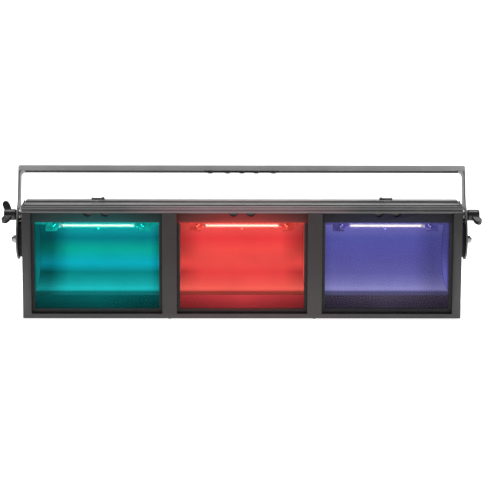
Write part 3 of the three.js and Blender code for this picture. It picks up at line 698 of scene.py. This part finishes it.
def lamp(cell, materials):
    """Quartz tube with pinched ends and an exhaust pip, ceramic caps, and a coiled filament."""
    node = f"lamp_{cell}"
    low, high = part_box(node)
    centre = (low + high) / 2
    half = (high.x - low.x) / 2
    radius = 5.4 * MM
    axis = (1, 0, 0)
    tube_half = half - 17 * MM
    profile = [(0, -tube_half), (3.2 * MM, -tube_half), (3.4 * MM, -tube_half + 4 * MM)]
    for k in range(7):
        t = k / 6
        swell = 3.4 * MM + (radius - 3.4 * MM) * math.sin(t * math.pi / 2)
        profile.append((swell, -tube_half + (4 + 5 * t) * MM))
    profile += [(r, -d) for r, d in reversed(profile)]
    glass = turned(f"lamp_tube_{cell}", profile, centre, axis, 28)
    settle(glass, materials["quartz"], "housing", [node])
    pip_profile = [(0, -0.5 * MM), (2.1 * MM, 0), (1.7 * MM, 1.4 * MM), (0.9 * MM, 3.0 * MM), (0, 3.6 * MM)]
    pip_root = centre + Vector((0, -radius * 0.35, -radius * 0.9))
    pip = turned(f"lamp_pip_{cell}", pip_profile, pip_root, (0, -0.36, -0.93), 16)
    # The pip glows as a painted glint.
    settle(pip, materials["painted_glint"], "housing")
    for name, side in SIDES.items():
        cap_profile = [(0, 0), (4.6 * MM, 0), (6.0 * MM, 1 * MM), (6.2 * MM, 3 * MM), (6.2 * MM, 12 * MM),
                       (5.4 * MM, 13.4 * MM), (3.2 * MM, 14 * MM), (3.0 * MM, 16.8 * MM), (0, 17 * MM)]
        start = centre + Vector((side * (half - 17 * MM), 0, 0))
        cap = turned(f"lamp_cap_{cell}_{name}", cap_profile, start, (side, 0, 0), 28)
        settle(cap, materials["ceramic"], "housing")
    turns = 120
    coil_radius = 1.7 * MM
    wire_radius = 0.6 * MM
    reach = half - LAMP_END
    coil = []
    for k in range(turns * 6 + 1):
        t = k / (turns * 6)
        a = 2 * math.pi * turns * t
        ring = Vector((0, math.cos(a), math.sin(a))) * coil_radius
        coil.append(centre + Vector((-reach + 2 * reach * t, 0, 0)) + ring)
    wire = tube(f"filament_{cell}", coil, wire_radius, 5)
    settle(wire, materials["hot"], "housing")


def contact(cell, name, side, materials):
    """The sprung contact cup that holds the lamp's end, its three beads glowing as painted glints and its two
    leads.
    """
    low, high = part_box(f"lamp_{cell}")
    holder_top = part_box(f"lampholder_{cell}_{name}")[1].z
    centre = (low + high) / 2
    tip = centre + Vector((side * (high.x - low.x) / 2, 0, 0))
    profile = [(0, -1.5 * MM), (4.6 * MM, -1.5 * MM), (5.2 * MM, -1.0 * MM), (5.2 * MM, 0.1 * MM),
               (0, 0.15 * MM)]
    cup = turned(f"contact_{cell}_{name}", profile, tip, (side, 0, 0), 24)
    settle(cup, materials["steel"], "housing")
    bead = [(0, 0), (1.5 * MM, 0), (1.3 * MM, 0.7 * MM), (0.7 * MM, 1.2 * MM), (0, 1.4 * MM)]
    for index, (inward, drop) in enumerate(((0.5, 1.0), (4.5, -2.0), (13.5, 1.5))):
        seat = tip + Vector((-side * inward * MM, -5.0 * MM, -drop * MM))
        dimple = turned(f"contact_bead_{cell}_{name}_{index + 1}", bead, seat, (0, -1, 0), 14)
        settle(dimple, materials["painted_glint"], "housing")
    for index, lift in enumerate((-3.0, 3.0)):
        start = Vector((tip.x + side * 10 * MM, centre.y + lift * MM, holder_top - 1 * MM))
        points = [start + Vector((side * 12 * MM * t, lift * MM * t, 12 * MM * math.sin(math.pi * t) * 0.8))
                  for t in [k / 12 for k in range(13)]]
        lead = tube(f"lead_{cell}_{name}_{index + 1}", points, 0.9 * MM, 8)
        settle(lead, materials["sleeve"], "housing")


def gel(cell, material):
    """The film, lying in gentle waves between the leaves of its frame."""
    node = f"gel_{cell}"
    low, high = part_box(node)
    columns, rows = 44, 32
    mid = (low.y + high.y) / 2
    reach = (high.y - low.y) / 2 - 0.06 * MM
    front, back = [], []
    for i in range(rows + 1):
        z = low.z + (high.z - low.z) * i / rows
        line = []
        for j in range(columns + 1):
            x = low.x + (high.x - low.x) * j / columns
            pin = math.sin(math.pi * i / rows) * math.sin(math.pi * j / columns)
            wave = math.sin(31 * x + 9 * z + cell) * math.cos(23 * z - 6 * x + 2 * cell)
            line.append(Vector((x, mid + reach * 0.85 * pin * wave, z)))
        front.append(line)
        back.append([p + Vector((0, 0.1 * MM, 0)) for p in line])
    piece = smooth(closed_sheet(f"film_{cell}", front, back), 60.0)
    return settle(piece, material, f"colour_frame_{cell}", [node])


# ------------------------------------------------------------------ small hardware


def cross_screw(name, node, axis, material):
    """A pan head with a cross recess, in the place of a plain screw node."""
    low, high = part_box(node)
    radius = sorted(high[i] - low[i] for i in range(3))[1] / 2
    height = min(high[i] - low[i] for i in range(3))
    along = Vector(axis)
    centre = (low + high) / 2 - along * height / 2
    profile = [(0, 0), (radius, 0), (radius, 0.25 * height), (0.93 * radius, 0.62 * height),
               (0.72 * radius, 0.88 * height), (0.5 * radius, height), (0, height)]
    head = turned(name, profile, centre, axis, 32)
    cutter_bm = bmesh.new()
    for turn in (0, 90):
        made = bmesh.ops.create_cube(cutter_bm, size=1.0)
        bmesh.ops.scale(cutter_bm, vec=(1.15 * radius, 0.26 * radius, 1.1 * height), verts=made["verts"])
        bmesh.ops.rotate(cutter_bm, cent=(0, 0, 0), matrix=Matrix.Rotation(math.radians(turn + 20), 3, "Z"),
                         verts=made["verts"])
    turn = Vector((0, 0, 1)).rotation_difference(along).to_matrix()
    bmesh.ops.transform(cutter_bm, matrix=turn.to_4x4(), verts=cutter_bm.verts)
    bmesh.ops.translate(cutter_bm, vec=centre + along * height, verts=cutter_bm.verts)
    cutter = from_bmesh(name + "_cutter", cutter_bm)
    cut = head.modifiers.new("recess", "BOOLEAN")
    cut.operation = "DIFFERENCE"
    cut.solver = "EXACT"
    cut.use_self = True
    cut.object = cutter
    bpy.context.view_layer.update()
    mesh = bpy.data.meshes.new_from_object(head.evaluated_get(bpy.context.evaluated_depsgraph_get()))
    head.modifiers.clear()
    head.data = mesh
    bpy.data.objects.remove(cutter)
    return settle(smooth(head, 30.0), material, body_of_node(node), [node])


# ------------------------------------------------------------------ the batten


def build_materials():
    return {
        "paint": powder_coat("charcoal_powder_coat", (0.036, 0.036, 0.0355), roughness=0.30),
        "front": powder_coat("front_powder_coat", (0.038, 0.038, 0.0375), roughness=0.30,
                             spill=(0.018, 0.004, 0.006)),
        "ledge": ledge_coat("ledge_powder_coat"),
        # The cap and the rail have a lighter coat than the other charcoal parts as painted light on the roof,
        # and the cap's upright faces a lighter colour still as a painted highlight.
        "cap": powder_coat("cap_powder_coat", (0.085, 0.085, 0.085), roughness=0.33, worn=(0.28, 0.28, 0.28),
                           painted_light_fronts=(0.26, 0.26, 0.26), spill=(0.09, 0.06, 0.065)),
        "rail": powder_coat("rail_powder_coat", (0.085, 0.085, 0.085), roughness=0.33,
                            worn=(0.34, 0.34, 0.34), spill=(0.11, 0.045, 0.055)),
        "catch": powder_coat("rubbed_black_steel", (0.09, 0.09, 0.088), roughness=0.4, worn=(0.5, 0.5, 0.5)),
        "yoke": yoke_coat("grey_powder_coat"),
        "steel": plated_steel("zinc_plate"),
        "knob": moulded_black("moulded_nylon"),
        "fibre": pressed_fibre("friction_fibre_black"),
        "ceramic": steatite("steatite_ceramic"),
        "quartz": quartz("clear_quartz"),
        "hot": white_hot("tungsten_white_hot", 2.3),
        # Painted glints: the contact beads and the lamp's pip glow, though they are no lamp.
        "painted_glint": white_hot("lit_contact", 5.0),
        "sleeve": powder_coat("glass_fibre_sleeve", (0.5, 0.47, 0.4), roughness=0.7, worn=(0.6, 0.6, 0.55)),
    }


def build_housing(m):
    for node in ("base_tray", "back_shell", "terminal_cover", "end_plate_left", "end_plate_right"):
        finished(node, m["paint"])
    for node in ("front_bezel", "partition_1", "partition_2"):
        finished(node, m["front"])
    rolled = (("roof_ledge", "ledge", 0.8), ("top_cap", "cap", 2.2), ("front_top_rail", "rail", 1.3))
    for node, coat, roll in rolled:
        finished(node, m[coat], bevel=0.3 * MM, roll=roll * MM)
    finished("lower_baffle", glowing_baffle("baffle_black"), bevel=0.3 * MM)
    softened("cable_gland", m["knob"], 0.45 * MM, 2)
    for row in ("front", "rear"):
        for index in (1, 2):
            place = f"{row}_{index}"
            cross_screw(f"base_pan_head_{place}", f"base_screw_{place}", (0, 0, -1), m["steel"])


def build_ends(m):
    for name, side in SIDES.items():
        cross_screw(f"end_pan_head_{name}", f"end_screw_{name}", (side, 0, 0), m["steel"])
        for node in ("pivot_bolt", "clamp_spacer", "clamp_stud", "catch_pin"):
            finished(f"{node}_{name}", m["steel"], bevel=0.25 * MM)
        finished(f"friction_disc_{name}", m["fibre"], bevel=0.6 * MM)
        softened(f"wing_knob_{name}", m["knob"], 0.6 * MM, 6)
        finished(f"roof_catch_{name}", m["catch"], bevel=0.7 * MM, segments=3)


def build_cells(m):
    for cell in CELLS:
        mirror_look = bright_mirror(f"lit_mirror_{cell}", cell)
        cheek_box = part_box(f"cheek_{cell}_left")
        cheek_look = cheek_mirror(f"lit_cheek_{cell}", CHEEK_GLOW[cell], cheek_box[0].y,
                                  cheek_box[1].y - cheek_box[0].y)
        mirror(cell, {"mirror": mirror_look})
        lamp(cell, m)
        for name, side in SIDES.items():
            finished(f"cheek_{cell}_{name}", cheek_look, bevel=0)
            finished(f"lampholder_{cell}_{name}", m["ceramic"], bevel=0.6 * MM)
            contact(cell, name, side, m)
        lamp_place = middle(f"lamp_{cell}")
        gel_place = middle(f"gel_{cell}")
        window_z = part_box(f"gel_{cell}")[0].z + GEL_MARGIN
        spill = spill_lit_frame(f"frame_black_{cell}", FILM_COLOURS[cell], FRAME_SPILL[cell], lamp_place.z,
                                window_z, gel_place.x)
        finished(f"colour_frame_{cell}", spill, bevel=0.35 * MM)
        line_z = lamp_place.z + LOOK_DOWN * (lamp_place.y - gel_place.y)
        half_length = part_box(f"lamp_{cell}")[1].x - lamp_place.x - LAMP_END + 4 * MM
        gel(cell, filter_film(f"dyed_film_{cell}", FILM_COLOURS[cell], line_z, lamp_place.x, half_length))


def build_yoke(m):
    finished("yoke", m["yoke"], bevel=0.5 * MM)


# ------------------------------------------------------------------ stage, light and camera


def build_stage():
    """A pale floor that sweeps up into a backdrop."""
    shader = Shader("pale_floor", roughness=0.8)
    pale = shader.ramp(shader.noise(0.8), (0.3, (0.93, 0.93, 0.93)), (0.7, (0.96, 0.96, 0.96)))
    shader.link(pale, "Base Color")
    shader.surface.inputs["Specular IOR Level"].default_value = 0.1
    shader.surface.inputs["Emission Color"].default_value = (1.0, 1.0, 1.0, 1.0)
    shader.surface.inputs["Emission Strength"].default_value = 0.9
    front, back, radius, top, half = -6.0, 4.0, 1.5, 4.0, 7.0
    line = [(front, 0.0), (back, 0.0)]
    for k in range(1, 13):
        a = math.pi / 2 * k / 12
        line.append((back + radius * math.sin(a), radius * (1 - math.cos(a))))
    line.append((back + radius, top))
    bm = bmesh.new()
    rows = [[bm.verts.new((x, y, z)) for x in (-half, half)] for y, z in line]
    for a, b in zip(rows, rows[1:]):
        bm.faces.new((a[0], a[1], b[1], b[0]))
    mesh = bpy.data.meshes.new("floor")
    bm.to_mesh(mesh)
    bm.free()
    floor = smooth(new_object("floor", mesh), 60.0)
    floor.data.materials.append(shader.material)


def softbox(name, place, aim, size, power):
    light = bpy.data.lights.new(name, "AREA")
    light.shape = "RECTANGLE"
    light.size, light.size_y = size
    light.energy = power
    made = bpy.data.objects.new(name, light)
    bpy.context.scene.collection.objects.link(made)
    made.location = place
    made.rotation_euler = (Vector(aim) - Vector(place)).to_track_quat("-Z", "Y").to_euler()


def build_light():
    world = bpy.data.worlds.new("studio")
    world.use_nodes = True
    world.node_tree.nodes["Background"].inputs["Color"].default_value = (1.0, 1.0, 1.0, 1.0)
    world.node_tree.nodes["Background"].inputs["Strength"].default_value = 0.16
    bpy.context.scene.world = world
    softbox("overhead", (0.0, 0.2, 2.2), (0.0, 0.0, 0.1), (2.2, 1.4), 44.0)
    bpy.context.scene.view_settings.view_transform = "Standard"


CAMERA_PLACE = Vector((-0.0299, -3.5384, 0.7439))
CAMERA_PITCH = math.radians(9.55)
CAMERA_YAW = math.radians(0.49)
CAMERA_ROLL = math.radians(0.14)
CAMERA_LENS = 126.4


def build_camera():
    camera = bpy.data.cameras.new("camera")
    camera.sensor_width = 36.0
    camera.lens = CAMERA_LENS
    camera.clip_end = 50.0
    made = bpy.data.objects.new("camera", camera)
    bpy.context.scene.collection.objects.link(made)
    forward = Vector((math.sin(CAMERA_YAW) * math.cos(CAMERA_PITCH),
                      math.cos(CAMERA_YAW) * math.cos(CAMERA_PITCH),
                      -math.sin(CAMERA_PITCH)))
    level = Vector((math.cos(CAMERA_YAW), -math.sin(CAMERA_YAW), 0.0))
    up = level.cross(forward)
    right = level * math.cos(CAMERA_ROLL) + up * math.sin(CAMERA_ROLL)
    up = right.cross(forward)
    made.matrix_world = Matrix((
        (right.x, up.x, -forward.x, CAMERA_PLACE.x),
        (right.y, up.y, -forward.y, CAMERA_PLACE.y),
        (right.z, up.z, -forward.z, CAMERA_PLACE.z),
        (0.0, 0.0, 0.0, 1.0),
    ))
    bpy.context.scene.camera = made


materials = build_materials()
build_camera()
build_stage()
build_light()
build_housing(materials)
build_ends(materials)
build_cells(materials)
build_yoke(materials)
